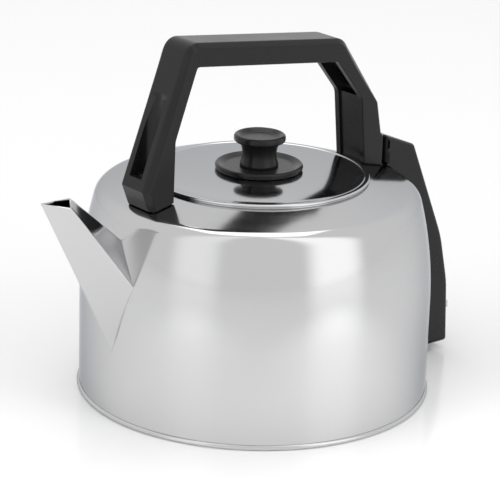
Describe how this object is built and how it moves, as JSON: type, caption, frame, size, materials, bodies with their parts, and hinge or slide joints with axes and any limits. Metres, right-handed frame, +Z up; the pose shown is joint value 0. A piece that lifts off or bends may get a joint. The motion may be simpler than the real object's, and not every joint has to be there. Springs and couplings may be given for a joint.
{
  "type": "electric kettle",
  "caption": "Corded electric kettle with a polished drum body, open folded spout, lift-off lid with knob, black hoop handle and a rear housing with inlet, switch and lamp.",
  "frame": {"origin": "centre of the bead that the kettle stands on, on the axis of the round body", "axes": "+Z up along the body's axis, -X towards the spout, +X towards the rear housing, the handle in the XZ plane"},
  "size_m": [0.2813, 0.2024, 0.2093],
  "materials": {
    "steel": "polished",
    "black": "satin",
    "zinc": "satin",
    "seal_black": "matte",
    "seal": "matte",
    "brass": "satin",
    "white": "matte",
    "sheath": "satin",
    "red": "gloss",
    "lens": "gloss"
  },
  "bodies": {
    "kettle": {"body_shell": "steel", "base_pan": "steel", "spout": "steel", "handle": "black", "leg_liner": "black", "foot_gaskets": "seal_black", "front_screw": "zinc", "rear_screw": "zinc", "stud_washers": "seal", "stud_nuts": "brass", "steam_bush": "white", "element_tube": "sheath", "element_head": "brass", "element_gasket": "seal", "saddle_plate": "zinc", "clamp_nut": "brass", "thermostat_block": "white", "rear_housing": "black", "housing_screws": "zinc", "inlet_shroud": "black", "inlet_pins": "brass", "switch_frame": "black", "rod_guide": "black", "bimetal_disc": "brass", "bimetal_holder": "black", "indicator_lens": "lens", "lamp_body": "white"},
    "lid": {"lid_plate": "steel", "lid_collar": "steel", "knob": "black", "heat_guard": "black", "knob_screw": "zinc", "knob_washer": "zinc"},
    "rocker": {"rocker": "red"},
    "trip_lever": {"trip_lever": "white"},
    "trip_rod": {"trip_rod": "white"}
  },
  "joints": [
    {"name": "lid_lift", "type": "slide", "parent": "kettle", "child": "lid", "axis": [0, 0, 1], "range_m": [0, 0.034]},
    {"name": "rocker_tilt", "type": "hinge", "parent": "kettle", "child": "rocker", "pos_m": [0.1272, 0, 0.054], "axis": [0, -1, 0], "range_deg": [0, 16]},
    {"name": "lever_tilt", "type": "hinge", "parent": "kettle", "child": "trip_lever", "pos_m": [0.1105, 0, 0.054], "axis": [0, 1, 0], "range_deg": [0, 16.01]},
    {"name": "rod_slide", "type": "slide", "parent": "kettle", "child": "trip_rod", "axis": [0, 0, 1], "range_m": [0, 0.00221]}
  ],
  "couplings": [
    {"joint": "lever_tilt", "follows": "rocker_tilt", "ratio": 1},
    {"joint": "rod_slide", "follows": "rocker_tilt", "m_per_rad": 0.0079}
  ]
}
